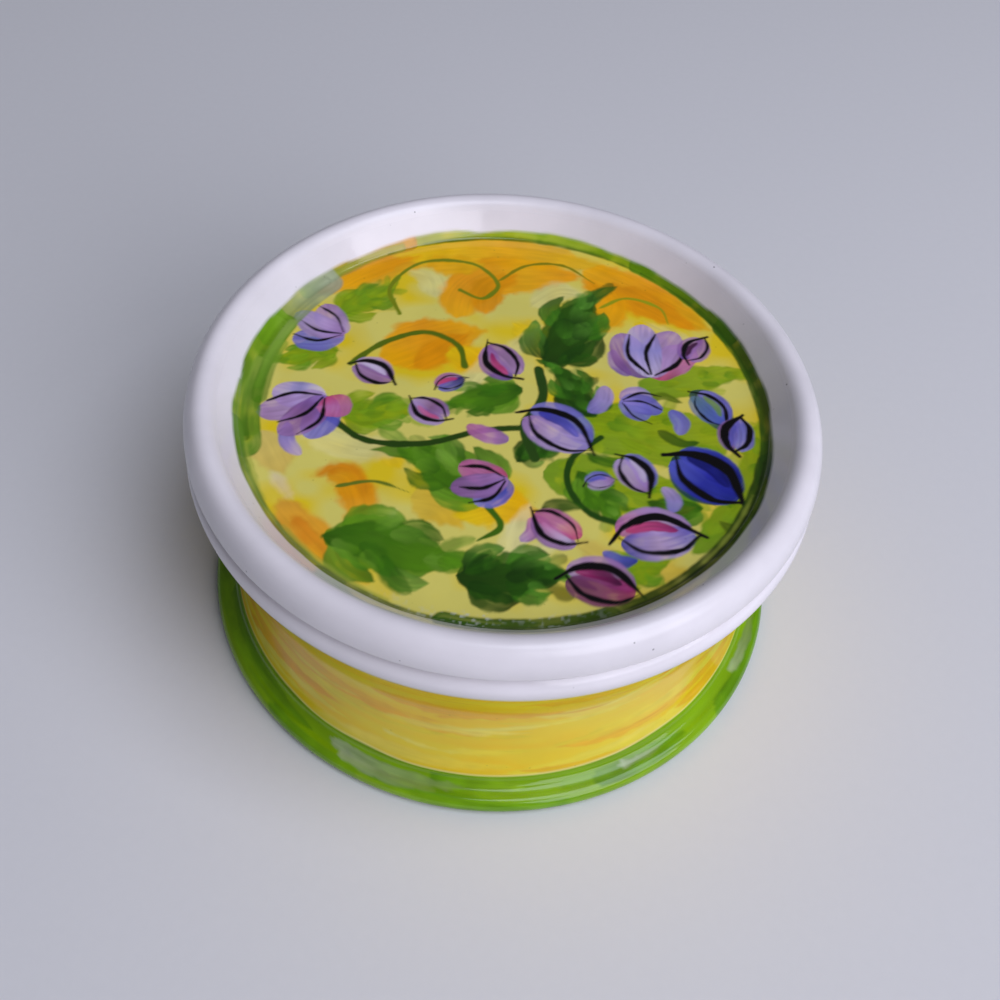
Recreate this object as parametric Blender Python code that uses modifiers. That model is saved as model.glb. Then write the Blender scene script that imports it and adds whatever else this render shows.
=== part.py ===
"""Round glazed ceramic pill box: a waisted base with a flared foot, and a lift-off lid with a sunk panel."""

import math

import bpy

# All sizes are in metres. Z is up, and the origin is on the table under the middle of the foot.

# Overall
LID_RADIUS = 0.0310  # widest radius of the lid's rim
BASE_HEIGHT = 0.0257  # table to the seat that the lid rests on
TURN_STEPS = 48  # facets round each turned piece

# Lid: a rounded rim round a sunk flat panel
RIM_RISE = 0.0037  # seat to the crest of the lid's rim
RIM_HALF_WIDTH = 0.0019  # crest to the widest line of the lid's rim, along the radius
RIM_EDGE_ROUND = 0.0004  # rounding under the widest line
RECESS_SLOPE = math.radians(52)  # steepness of the side of the recess
RECESS_FILLET = 0.0005  # between the panel and the side of the recess
PANEL_RISE = 0.0003  # the panel's top over the seat
PANEL_THICKNESS = 0.0022

# Locating ring under the lid
LOCATING_DEPTH = 0.0034  # the ring's lower edge under the seat
LOCATING_WIDTH = 0.0023
LOCATING_ROUND = 0.0005

# Base rim, the plain band under the lid
RIM_PROUD = 0.0002  # the base's rim stands this far outside the lid
BASE_RIM_WIDTH = 0.0028  # widest line to the mouth
BAND_HEIGHT = 0.0037  # seat to the lower edge of the plain band
BAND_ROUND = 0.0010  # rounding of the rim's upper edge, along the radius
BAND_TURN_IN = 0.0007  # how far the band turns in at its lower edge
MOUTH_ROUND = 0.0004

# Base wall
WAIST_INSET = 0.0034  # rim to the waist, along the radius
WAIST_HEIGHT = 0.0120
WALL = 0.0030
FLOOR = 0.0030
FLOOR_FILLET = 0.0030
WALL_CURVE = 2.2  # exponent of the waisted curve

# Foot
FOOT_PROUD = 0.0001  # the foot stands this far outside the base's rim
FOOT_THICKNESS = 0.0020
FOOT_ROUND = 0.0010
FLARE = 0.0009  # waist to the top of the foot's cove, along the radius
COVE = 0.0014  # radius of the cove over the foot
FOOT_RING_WIDTH = 0.0034  # flat ring that stands on the table
FOOT_RECESS = 0.0012  # underside of the floor over the table
FOOT_RECESS_SLANT = 0.0010

# Fits between the two pieces
SEAT_GAP = 0.0003  # lid over seat
LOCATING_CLEARANCE = 0.0008  # locating ring to mouth, along the radius
LEDGE_CLEARANCE = 0.0004  # locating ring's lower edge over the ledge in the mouth

# Derived sizes that both pieces share
BASE_RIM_RADIUS = LID_RADIUS + RIM_PROUD
MOUTH_RADIUS = BASE_RIM_RADIUS - BASE_RIM_WIDTH
LOCATING_RADIUS = MOUTH_RADIUS - LOCATING_CLEARANCE
WAIST_RADIUS = BASE_RIM_RADIUS - WAIST_INSET
FOOT_RADIUS = BASE_RIM_RADIUS + FOOT_PROUD
BAND_BOTTOM = BASE_HEIGHT - BAND_HEIGHT
COVE_TOP = FOOT_THICKNESS + COVE


def arc(centre_x, centre_z, half_x, half_z, start, end, count):
    """Points along an ellipse from one angle to the other, in degrees, both ends included."""
    points = []
    for step in range(count + 1):
        angle = math.radians(start + (end - start) * step / count)
        points.append((centre_x + half_x * math.cos(angle), centre_z + half_z * math.sin(angle)))
    return points


def wall_radius(height):
    """Outer radius of the waisted wall at a height between the cove and the plain band."""
    if height > WAIST_HEIGHT:
        span = BAND_BOTTOM - WAIST_HEIGHT
        reach = BASE_RIM_RADIUS - BAND_TURN_IN - WAIST_RADIUS
    else:
        span = WAIST_HEIGHT - COVE_TOP
        reach = FLARE
    return WAIST_RADIUS + reach * (abs(height - WAIST_HEIGHT) / span) ** WALL_CURVE


def spaced(first, last, count):
    """Evenly spaced values from first to last, both included."""
    return [first + (last - first) * step / count for step in range(count + 1)]


def lid_profile():
    """Half section of the lid, from the middle of the panel over the rim to the middle of the underside."""
    underside = BASE_HEIGHT + SEAT_GAP
    widest = underside + RIM_EDGE_ROUND
    crest_radius = LID_RADIUS - RIM_HALF_WIDTH
    rim_half_height = BASE_HEIGHT + RIM_RISE - widest
    panel_top = BASE_HEIGHT + PANEL_RISE
    panel_under = panel_top - PANEL_THICKNESS
    ring_bottom = BASE_HEIGHT - LOCATING_DEPTH
    ring_inner = LOCATING_RADIUS - LOCATING_WIDTH

    # The side of the recess is a straight slope that touches the rim's ellipse.
    normal = RECESS_SLOPE + math.pi / 2
    tangent = math.atan2(rim_half_height * math.sin(normal), RIM_HALF_WIDTH * math.cos(normal))
    touch_x = crest_radius + RIM_HALF_WIDTH * math.cos(tangent)
    touch_z = widest + rim_half_height * math.sin(tangent)
    crease = touch_x - (touch_z - panel_top) / math.tan(RECESS_SLOPE)
    setback = RECESS_FILLET * math.tan(RECESS_SLOPE / 2)

    slope_end = -90 + math.degrees(RECESS_SLOPE)
    profile = [(0, panel_top)]
    profile += arc(crease - setback, panel_top + RECESS_FILLET, RECESS_FILLET, RECESS_FILLET, -90, slope_end, 3)
    profile += arc(crest_radius, widest, RIM_HALF_WIDTH, rim_half_height, math.degrees(tangent), 0, 11)
    profile += arc(LID_RADIUS - RIM_EDGE_ROUND, widest, RIM_EDGE_ROUND, RIM_EDGE_ROUND, 0, -90, 3)[1:]
    profile.append((LOCATING_RADIUS, underside))
    profile += arc(
        LOCATING_RADIUS - LOCATING_ROUND, ring_bottom + LOCATING_ROUND, LOCATING_ROUND, LOCATING_ROUND, 0, -90, 3
    )
    profile += arc(
        ring_inner + LOCATING_ROUND, ring_bottom + LOCATING_ROUND, LOCATING_ROUND, LOCATING_ROUND, -90, -180, 3
    )
    profile.append((ring_inner, panel_under))
    profile.append((0, panel_under))
    return profile


def base_profile():
    """Half section of the base, from the middle of its floor over the rim to the middle of the underside."""
    floor_top = FOOT_RECESS + FLOOR
    ledge = BASE_HEIGHT - LOCATING_DEPTH - LEDGE_CLEARANCE
    inner_foot = wall_radius(floor_top + FLOOR_FILLET) - WALL
    ledge_drop = MOUTH_RADIUS - (wall_radius(ledge) - WALL)
    inner_top = ledge - ledge_drop
    band_widest = BASE_HEIGHT - BAND_HEIGHT / 2
    seat_edge = BASE_RIM_RADIUS - BAND_ROUND

    profile = [(0, floor_top)]
    profile += arc(inner_foot - FLOOR_FILLET, floor_top + FLOOR_FILLET, FLOOR_FILLET, FLOOR_FILLET, -90, 0, 5)
    for height in spaced(floor_top + FLOOR_FILLET, inner_top, 6)[1:]:
        profile.append((wall_radius(height) - WALL, height))
    profile.append((MOUTH_RADIUS, ledge))
    profile += arc(MOUTH_RADIUS + MOUTH_ROUND, BASE_HEIGHT - MOUTH_ROUND, MOUTH_ROUND, MOUTH_ROUND, 180, 90, 3)
    profile += arc(seat_edge, band_widest, BAND_ROUND, BAND_HEIGHT / 2, 90, 0, 6)
    profile.append((BASE_RIM_RADIUS - BAND_TURN_IN * 0.3, (band_widest + BAND_BOTTOM) / 2))
    for height in spaced(BAND_BOTTOM, WAIST_HEIGHT, 6):
        profile.append((wall_radius(height), height))
    for height in spaced(WAIST_HEIGHT, COVE_TOP, 4)[1:]:
        profile.append((wall_radius(height), height))
    cove_centre = WAIST_RADIUS + FLARE + COVE
    profile += arc(cove_centre, COVE_TOP, COVE, COVE, 180, 270, 5)[1:]
    edge_centre = FOOT_RADIUS - FOOT_ROUND
    profile += arc(edge_centre, FOOT_THICKNESS / 2, FOOT_ROUND, FOOT_THICKNESS / 2, 90, -90, 6)
    ring_inner = edge_centre - FOOT_RING_WIDTH
    profile.append((ring_inner, 0))
    profile.append((ring_inner - FOOT_RECESS_SLANT, FOOT_RECESS))
    profile.append((0, FOOT_RECESS))
    return profile


def ceramic(name, colour, roughness):
    material = bpy.data.materials.new(name)
    material.use_nodes = True
    shader = material.node_tree.nodes["Principled BSDF"]
    shader.inputs["Base Color"].default_value = (*colour, 1)
    shader.inputs["Roughness"].default_value = roughness
    shader.inputs["Metallic"].default_value = 0
    material.diffuse_color = (*colour, 1)
    return material


def turned(name, profile, material, collection):
    """One solid turned from its half section about Z."""
    mesh = bpy.data.meshes.new(name)
    points = [(x, 0, z) for x, z in profile]
    mesh.from_pydata(points, [(i, i + 1) for i in range(len(points) - 1)], [])
    mesh.materials.append(material)
    piece = bpy.data.objects.new(name, mesh)
    collection.objects.link(piece)
    screw = piece.modifiers.new("Turn", "SCREW")
    screw.axis = "Z"
    screw.angle = math.tau
    screw.screw_offset = 0
    screw.steps = TURN_STEPS
    screw.render_steps = TURN_STEPS
    screw.use_merge_vertices = True
    screw.merge_threshold = 0.00001
    screw.use_smooth_shade = True
    return piece


def clear_scene():
    for item in list(bpy.data.objects):
        bpy.data.objects.remove(item, do_unlink=True)


def main():
    clear_scene()
    collection = bpy.data.collections.new("pill_box")
    bpy.context.scene.collection.children.link(collection)
    painted = ceramic("painted_glazed_ceramic", (0.78, 0.62, 0.10), 0.15)
    white = ceramic("white_glazed_ceramic", (0.80, 0.79, 0.82), 0.15)
    turned("base", base_profile(), painted, collection)
    turned("lid", lid_profile(), white, collection)


main()
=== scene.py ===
"""Round hand-painted ceramic pill box: a waisted base with a flared foot, and a loose lid with a painted panel."""

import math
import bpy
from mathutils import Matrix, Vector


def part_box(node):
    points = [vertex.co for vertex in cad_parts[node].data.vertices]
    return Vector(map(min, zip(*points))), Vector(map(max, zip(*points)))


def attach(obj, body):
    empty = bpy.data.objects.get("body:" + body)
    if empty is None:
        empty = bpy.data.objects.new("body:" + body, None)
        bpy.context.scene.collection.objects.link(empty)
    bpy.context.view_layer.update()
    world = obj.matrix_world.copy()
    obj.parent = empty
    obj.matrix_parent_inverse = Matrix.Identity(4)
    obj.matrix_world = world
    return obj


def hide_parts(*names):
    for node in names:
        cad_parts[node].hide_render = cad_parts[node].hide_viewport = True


bl_info = {
    "name": "Painted Pill Box",
    "version": (1, 0, 0),
    "blender": (4, 5, 0),
    "location": "View3D > Sidebar > Pill Box",
    "description": "Makes a round glazed pill box with a hand-painted lid and base, in a plain studio",
    "category": "Add Mesh",
}

import bmesh
import bpy
import numpy as np
from mathutils import Matrix, Vector

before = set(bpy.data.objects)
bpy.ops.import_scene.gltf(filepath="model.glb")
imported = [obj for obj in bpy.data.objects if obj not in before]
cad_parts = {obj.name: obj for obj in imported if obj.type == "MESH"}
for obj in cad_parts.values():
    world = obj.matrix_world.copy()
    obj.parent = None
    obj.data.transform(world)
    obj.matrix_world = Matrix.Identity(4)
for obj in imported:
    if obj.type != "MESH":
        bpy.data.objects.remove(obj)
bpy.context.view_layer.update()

MM = 0.001
BASE_TOP, LID_TOP = (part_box(body)[1][2] / MM for body in ("base", "lid"))
FLAT = 0.02  # a point lower than this, in millimetres, is on the ring that the base stands on


def srgb(hex_colour):
    """An sRGB hex colour as linear red, green and blue."""
    parts = [int(hex_colour[place : place + 2], 16) / 255 for place in (1, 3, 5)]
    return np.array([part / 12.92 if part <= 0.04045 else ((part + 0.055) / 1.055) ** 2.4 for part in parts])


# ---------------------------------------------------------------- sizes and colours that a user would change


def length(name, description, millimetres):
    """A length that the user can change."""
    return bpy.props.FloatProperty(
        name=name, description=description, default=millimetres * MM, unit="LENGTH", subtype="DISTANCE", precision=5
    )


def colour(name, description, hex_colour):
    """A colour that the user can change."""
    return bpy.props.FloatVectorProperty(
        name=name, description=description, default=tuple(srgb(hex_colour)), subtype="COLOR", size=3
    )


def amount(name, description, default, unit="NONE"):
    """A plain number that the user can change."""
    return bpy.props.FloatProperty(name=name, description=description, default=default, unit=unit)


class PillBoxBaseSizes(bpy.types.PropertyGroup):
    """Sizes of the base"""

    height: length("Height", "Table to the seat of the lid", BASE_TOP)
    rim_radius: length("Rim radius", "Widest radius of the white rim", 31.2)
    band: length("White band", "Height of the plain white band under the seat", 3.7)
    waist_radius: length("Waist radius", "Narrowest radius of the wall", 27.8)
    waist_height: length("Waist height", "Table to the waist", 12.0)
    foot_radius: length("Foot radius", "Radius of the flared foot", 31.3)
    foot_thickness: length("Foot thickness", "Thickness of the foot's edge", 2.0)
    wall: length("Wall", "Thickness of the wall", 3.0)
    mouth_radius: length("Mouth radius", "Radius of the mouth that takes the lid", 28.4)


class PillBoxLidSizes(bpy.types.PropertyGroup):
    """Sizes of the lid"""

    radius: length("Radius", "Widest radius of the lid", 31.0)
    rise: length("Rise", "Seat to the crest of the rim", LID_TOP - BASE_TOP)
    rim_half_width: length("Rim half width", "Crest of the rim to its widest line", 1.9)
    panel_rise: length("Panel rise", "Sunk panel over the seat", 0.3)
    panel_thickness: length("Panel thickness", "Thickness of the sunk panel", 2.2)
    locating_radius: length("Locating ring radius", "Ring that drops into the mouth", 27.6)
    seam: length("Seam", "Gap between the lid and its seat", 0.14)


class PillBoxFinish(bpy.types.PropertyGroup):
    """Colours of the glaze and the paint"""

    white: colour("White glaze", "Clear glaze over the white clay", "#E9E5E9")
    lemon: colour("Lemon ground", "Thin yellow under the flowers", "#DFD56A")
    wall_yellow: colour("Wall yellow", "Yellow of the base", "#F4CC08")
    foot_green: colour("Foot green", "Green of the foot", "#7CA806")
    clay: colour("Bare clay", "Unglazed ring under the foot", "#D9CDBB")
    coat_roughness: amount("Glaze roughness", "Roughness of the gloss", 0.1)


class PillBoxStudio(bpy.types.PropertyGroup):
    """Lights and lens of the plain studio"""

    key_power: amount("Window power", "Power of the large soft light", 2.65)
    fill_power: amount("Fill power", "Power of the overhead light", 2.9)
    room: amount("Room level", "Strength of the even light of the room", 0.1)
    lens: amount("Lens", "Focal length", 40.86, unit="CAMERA")
    floor: colour("Floor", "Plain pale floor", "#D9DADC")


# ---------------------------------------------------------------- half sections, in millimetres

# The lid: its widest line over the seat and the rounding below it, the slope of the recess in degrees and the
# fillet at its foot, the locating ring, and the roundings at the ring's end, at its root and under the panel.
WIDEST_OVER_SEAT, LOWER_ROUNDING = 0.7, 1.7
RECESS_SLOPE, CREASE_FILLET = 52, 0.6
RING_DEPTH, RING_WIDTH = 3.4, 2.3
RING_END, RING_ROOT, PANEL_ROOT = 0.5, 0.3, 0.4
PANEL_STEPS, CREASE_STEPS, SLOPE_STEPS, RIM_STEPS = 6, 8, 14, 44

# The base: the roundings of the mouth and of the rim, the step in under the rim and how strongly it bends, how
# strongly the wall bends and how far it flares below the waist, the cove over the foot, the foot's edge, the flat
# ring that it stands on and the hollow inside that ring, the floor of the cup and its rounding, and the ledge in
# the mouth that the locating ring clears.
MOUTH_ROUNDING, SHOULDER, STEP_IN, STEP_BEND = 0.4, 2.3, 0.7, 1.8
WALL_BEND, FLARE, COVE = 2.2, 0.9, 1.4
FOOT_ROUNDING, FOOT_RING, HOLLOW_SLANT, HOLLOW_HEIGHT = 1.0, 3.4, 1.0, 1.2
CUP_FLOOR, CUP_ROUNDING, LEDGE_DEPTH = 4.2, 3, 3.8
TURN_STEPS, OUTER_STEPS, INNER_STEPS = 8, 84, 16


def arc(centre, half_x, half_z, start, end, count):
    """Points along an ellipse from one angle to the other, in degrees, both ends included."""
    angles = [math.radians(start + (end - start) * step / count) for step in range(count + 1)]
    return [(centre[0] + half_x * math.cos(angle), centre[1] + half_z * math.sin(angle)) for angle in angles]


def rounding(centre, radius, start, end, count):
    """Points along a circle, without the first."""
    return arc(centre, radius, radius, start, end, count)[1:]


def along(first, last, count):
    """Evenly spaced points after the first one, up to the last one."""
    return [
        (first[0] + (last[0] - first[0]) * step / count, first[1] + (last[1] - first[1]) * step / count)
        for step in range(1, count + 1)
    ]


def lid_top(sizes, seat):
    """The lid's upper outline, from the middle of the panel up the recess and over the rim to its widest line."""
    radius, half_width = sizes.radius / MM, sizes.rim_half_width / MM
    widest = seat + WIDEST_OVER_SEAT
    half_height = seat + sizes.rise / MM - widest
    panel = seat + sizes.panel_rise / MM
    crest = radius - half_width
    slope = math.radians(RECESS_SLOPE)
    tangent = math.atan2(half_height * math.sin(slope + math.pi / 2), half_width * math.cos(slope + math.pi / 2))
    touch = (crest + half_width * math.cos(tangent), widest + half_height * math.sin(tangent))
    crease = touch[0] - (touch[1] - panel) / math.tan(slope) - CREASE_FILLET * math.tan(slope / 2)
    outline = [(0, panel)]
    outline += along((0, panel), (crease, panel), PANEL_STEPS)
    outline += rounding((crease, panel + CREASE_FILLET), CREASE_FILLET, -90, RECESS_SLOPE - 90, CREASE_STEPS)
    outline += along(outline[-1], touch, SLOPE_STEPS)
    outline += arc((crest, widest), half_width, half_height, math.degrees(tangent), 0, RIM_STEPS)[1:]
    return outline


def lid_outline(sizes, seat):
    """Half section of the whole lid, from the middle of the panel round to the middle of its underside."""
    radius, ring = sizes.radius / MM, sizes.locating_radius / MM
    underside = seat + sizes.seam / MM
    panel_under = seat + (sizes.panel_rise - sizes.panel_thickness) / MM
    ring_low = seat - RING_DEPTH + RING_END
    edge = WIDEST_OVER_SEAT - (underside - seat)
    outline = lid_top(sizes, seat)
    outline += arc((radius - LOWER_ROUNDING, seat + WIDEST_OVER_SEAT), LOWER_ROUNDING, edge, 0, -90, 16)[1:]
    outline += along(outline[-1], (ring + RING_ROOT, underside), 5)
    outline += rounding((ring + RING_ROOT, underside - RING_ROOT), RING_ROOT, 90, 180, 4)
    outline += along(outline[-1], (ring, ring_low), 4)
    outline += rounding((ring - RING_END, ring_low), RING_END, 0, -90, 6)
    outline += arc((ring - RING_WIDTH + RING_END, ring_low), RING_END, RING_END, -90, -180, 6)
    outline += along(outline[-1], (ring - RING_WIDTH, panel_under - PANEL_ROOT), 2)
    outline += rounding((ring - RING_WIDTH - PANEL_ROOT, panel_under - PANEL_ROOT), PANEL_ROOT, 0, 90, 5)
    outline += along(outline[-1], (0, panel_under), 8)
    return outline


def wall_radius(sizes, height):
    """Outer radius of the waisted wall at a height."""
    waist, middle = sizes.waist_radius / MM, sizes.waist_height / MM
    if height > middle:
        share = (height - middle) / ((sizes.height - sizes.band) / MM - middle)
        return waist + (sizes.rim_radius / MM - STEP_IN - waist) * share**WALL_BEND
    share = (middle - height) / (middle - sizes.foot_thickness / MM - COVE)
    return waist + FLARE * share**WALL_BEND


def base_outside(sizes):
    """The base's outer outline, from the inner edge of the seat down to the inside of the foot ring."""
    seat, rim, mouth = sizes.height / MM, sizes.rim_radius / MM, sizes.mouth_radius / MM
    band, foot, thick = sizes.band / MM, sizes.foot_radius / MM, sizes.foot_thickness / MM
    low, cove_top = seat - band, thick + COVE
    outline = arc((mouth + MOUTH_ROUNDING, seat - MOUTH_ROUNDING), MOUTH_ROUNDING, MOUTH_ROUNDING, 180, 90, 5)
    outline += along(outline[-1], (rim - SHOULDER, seat), 2)
    outline += arc((rim - SHOULDER, seat - band / 2), SHOULDER, band / 2, 90, 0, 22)[1:]
    turns = [step / TURN_STEPS for step in range(1, TURN_STEPS + 1)]
    outline += [(rim - STEP_IN * turn**STEP_BEND, seat - band / 2 * (1 + turn)) for turn in turns]
    heights = [low + (cove_top - low) * step / OUTER_STEPS for step in range(1, OUTER_STEPS + 1)]
    outline += [(wall_radius(sizes, height), height) for height in heights]
    outline += rounding((wall_radius(sizes, cove_top) + COVE, cove_top), COVE, 180, 270, 14)
    outline += along(outline[-1], (foot - FOOT_ROUNDING, thick), 2)
    outline += arc((foot - FOOT_ROUNDING, thick / 2), FOOT_ROUNDING, thick / 2, 90, -90, 20)[1:]
    outline += along(outline[-1], (foot - FOOT_ROUNDING - FOOT_RING, 0), 5)
    return outline


def base_outline(sizes):
    """Half section of the whole base, from the middle of the cup's floor round to the middle of its underside."""
    mouth, wall = sizes.mouth_radius / MM, sizes.wall / MM
    bend = CUP_FLOOR + CUP_ROUNDING
    ledge = sizes.height / MM - LEDGE_DEPTH
    inner = wall_radius(sizes, bend) - wall
    inner_top = ledge - (mouth - wall_radius(sizes, ledge) + wall)
    outline = [(0, CUP_FLOOR)]
    outline += along((0, CUP_FLOOR), (inner - CUP_ROUNDING, CUP_FLOOR), 6)
    outline += rounding((inner - CUP_ROUNDING, bend), CUP_ROUNDING, -90, 0, 10)
    heights = [bend + (inner_top - bend) * step / INNER_STEPS for step in range(1, INNER_STEPS + 1)]
    outline += [(wall_radius(sizes, height) - wall, height) for height in heights]
    outline += along(outline[-1], (mouth, ledge), 3)
    outside = base_outside(sizes)
    outline += along(outline[-1], outside[0], 4)
    outline += outside[1:]
    outline += along(outline[-1], (outline[-1][0] - HOLLOW_SLANT, HOLLOW_HEIGHT), 3)
    outline += along(outline[-1], (0, HOLLOW_HEIGHT), 6)
    return outline


# ---------------------------------------------------------------- meshes

SEAM_TOLERANCE = 1e-6

# The painted skin of the lid, in millimetres: how far it reaches, how proud it lies, and how far its edge dips under
# the glaze. Its grid has an even number of segments, and its two parts meet at a share of its reach.
SKIN_REACH, SKIN_LIFT, SKIN_DIP = 27.7, 0.012, 0.05
SKIN_SEGMENTS, SKIN_JOIN = 420, 150 / 210


def piece_from(bm, name):
    """An object made from a bmesh, smooth, with its faces pointing out."""
    bmesh.ops.remove_doubles(bm, verts=bm.verts, dist=SEAM_TOLERANCE)
    bmesh.ops.recalc_face_normals(bm, faces=bm.faces)
    for face in bm.faces:
        face.smooth = True
    mesh = bpy.data.meshes.new(name)
    bm.to_mesh(mesh)
    bm.free()
    piece = bpy.data.objects.new(name, mesh)
    bpy.context.scene.collection.objects.link(piece)
    return piece


def turned(name, outline, steps):
    """A piece turned about Z from a half section in millimetres: one sixteenth is spun, then doubled four times."""
    bm = bmesh.new()
    verts = [bm.verts.new((x * MM, 0, z * MM)) for x, z in outline]
    edges = [bm.edges.new(pair) for pair in zip(verts, verts[1:])]
    sector = math.tau / 16
    bmesh.ops.spin(
        bm, geom=verts + edges, cent=(0, 0, 0), axis=(0, 0, 1), angle=sector, steps=steps // 16, use_duplicate=False
    )
    for doubling in range(4):
        copy = bmesh.ops.duplicate(bm, geom=bm.verts[:] + bm.edges[:] + bm.faces[:])["geom"]
        copied = [item for item in copy if isinstance(item, bmesh.types.BMVert)]
        bmesh.ops.rotate(bm, verts=copied, cent=(0, 0, 0), matrix=Matrix.Rotation(sector * 2**doubling, 3, "Z"))
    return piece_from(bm, name)


def squared_ring(co):
    """Which square ring of the flat grid a point lies on, from 0 in the middle to 1 at the border."""
    return max(abs(co.x), abs(co.y))


def painted_skin(name, top, inner, outer):
    """Part of the thin painted layer that lies in the recess, between two rings: a grid drawn out to a disc.

    It has an edge and an underside, so that it is closed. The two parts meet on the flat panel.
    """
    radii = [x for x, z in top]
    heights = [z for x, z in top]
    bm = bmesh.new()
    bmesh.ops.create_grid(bm, x_segments=SKIN_SEGMENTS, y_segments=SKIN_SEGMENTS, size=1)
    spare = [face for face in bm.faces if not inner < squared_ring(face.calc_center_median()) < outer]
    bmesh.ops.delete(bm, geom=spare, context="FACES")
    rings = np.array([squared_ring(vert.co) for vert in bm.verts])
    lifts = np.interp(rings * SKIN_REACH, radii, heights) + SKIN_LIFT
    for vert, ring, height in zip(bm.verts, rings, lifts):
        across, away = vert.co.x, vert.co.y
        if ring == 0:
            flat = (0, 0)
        elif abs(across) >= abs(away):
            turn = math.pi / 4 * away / across
            flat = (across * math.cos(turn), across * math.sin(turn))
        else:
            turn = math.pi / 4 * across / away
            flat = (away * math.sin(turn), away * math.cos(turn))
        vert.co = (flat[0] * SKIN_REACH * MM, flat[1] * SKIN_REACH * MM, height * MM)

    def grown(border, radius):
        """Extrudes a border to a radius just under the surface, and gives the new border."""
        made = bmesh.ops.extrude_edge_only(bm, edges=border)["geom"]
        height = float(np.interp(radius, radii, heights)) - SKIN_DIP
        for vert in (item for item in made if isinstance(item, bmesh.types.BMVert)):
            flat = Vector((vert.co.x, vert.co.y)).normalized() * radius
            vert.co = (flat.x * MM, flat.y * MM, height * MM)
        return [item for item in made if isinstance(item, bmesh.types.BMEdge)]

    def border_at(ring):
        """The open edges on one ring, marked sharp."""
        radius = ring * SKIN_REACH * MM
        found = [
            edge
            for edge in bm.edges
            if edge.is_boundary and abs(edge.verts[0].co.xy.length - radius) < SEAM_TOLERANCE
        ]
        for edge in found:
            edge.smooth = False
        return found

    border = grown(border_at(outer), outer * SKIN_REACH - 0.01)
    if inner == 0:
        rim = {vert for edge in border for vert in edge.verts}
        bmesh.ops.pointmerge(bm, verts=list(rim), merge_co=(0, 0, (heights[0] - SKIN_DIP) * MM))
    else:
        for step in (CREASE_STEPS, CREASE_STEPS // 2, 0):
            border = grown(border, radii[PANEL_STEPS + step])
        inside = grown(border_at(inner), inner * SKIN_REACH + 0.01)
        bmesh.ops.bridge_loops(bm, edges=border + inside)
    return piece_from(bm, name)


def points_of(piece):
    """Every vertex of a piece, in millimetres."""
    mesh = piece.data
    points = np.empty(len(mesh.vertices) * 3)
    mesh.vertices.foreach_get("co", points)
    return points.reshape(-1, 3) / MM


# ---------------------------------------------------------------- paint and brushes


class Paint:
    """The colour lying on each point of a surface, and each point's place in millimetres."""

    def __init__(self, across, away, ground):
        self.place = np.stack([across, away], axis=1)
        self.colour = np.tile(np.asarray(ground, float), (len(across), 1))

    def cover(self, colour, share, rows=slice(None)):
        """Lays a colour over the paint: a share of 0 leaves the paint as it is, and 1 hides it."""
        self.colour[rows] += (colour - self.colour[rows]) * share[:, None]

    def onto(self, piece):
        """Writes the paint to the piece as a colour attribute."""
        layer = piece.data.color_attributes.new("paint", "FLOAT_COLOR", "POINT")
        rgba = np.ones((len(self.colour), 4))
        rgba[:, :3] = np.clip(self.colour, 0, 1)
        layer.data.foreach_set("color", rgba.ravel())


def eased(part):
    """A share from 0 to 1 that starts and ends gently."""
    return part * part * (3 - 2 * part)


def mottle(across, away, seed):
    """Smooth noise from 0 to 1, one cell to a unit."""
    lattice = np.random.RandomState(seed).rand(64, 64)
    cell_x, cell_y = np.floor(across).astype(int), np.floor(away).astype(int)
    part_x, part_y = eased(across - cell_x), eased(away - cell_y)
    x0, x1, y0, y1 = cell_x % 64, (cell_x + 1) % 64, cell_y % 64, (cell_y + 1) % 64
    near = lattice[x0, y0] * (1 - part_x) + lattice[x1, y0] * part_x
    far = lattice[x0, y1] * (1 - part_x) + lattice[x1, y1] * part_x
    return near * (1 - part_y) + far * part_y


def smooth_path(path):
    """A smooth curve through the points of a brush stroke."""
    path = np.array(path, float)
    ends = np.vstack([2 * path[0] - path[1], path, 2 * path[-1] - path[-2]])
    steps = np.linspace(0, 1, 10, endpoint=False)[:, None]
    runs = []
    for before, start, end, after in zip(ends, ends[1:], ends[2:], ends[3:]):
        bend = 2 * before - 5 * start + 4 * end - after
        turn = 3 * start - before - 3 * end + after
        runs.append(0.5 * (2 * start + (end - before) * steps + bend * steps**2 + turn * steps**3))
    return np.vstack(runs + [path[-1:]])


INK = "#080507"

# What a wet brush leaves, in millimetres: the space and the length of its hair lines, the coarse and fine waver of
# its edge, and its pools.
BRISTLE, HAIR_LENGTH, COARSE, FINE, POOL = 0.24, 2.4, 1.3, 0.55, 1.2

# How wide a stroke is, for each place from 0 at its start to 1 at its end.
BRUSH_SHAPES = {
    "petal": lambda u: np.sqrt(np.clip(1 - (2 * u - 1) ** 2, 0, 1)),
    "leaf": lambda u: np.sin(np.pi * np.clip(u, 0, 1) ** 0.8) ** 0.8,
    "line": lambda u: np.clip(np.minimum(u / 0.05, (1 - u) / 0.35), 0, 1) ** 0.6,
    "swell": lambda u: 0.35 + 0.65 * np.sin(np.pi * np.clip(u, 0, 1)) ** 1.5,
    "dab": lambda u: np.ones_like(u),
}


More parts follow.
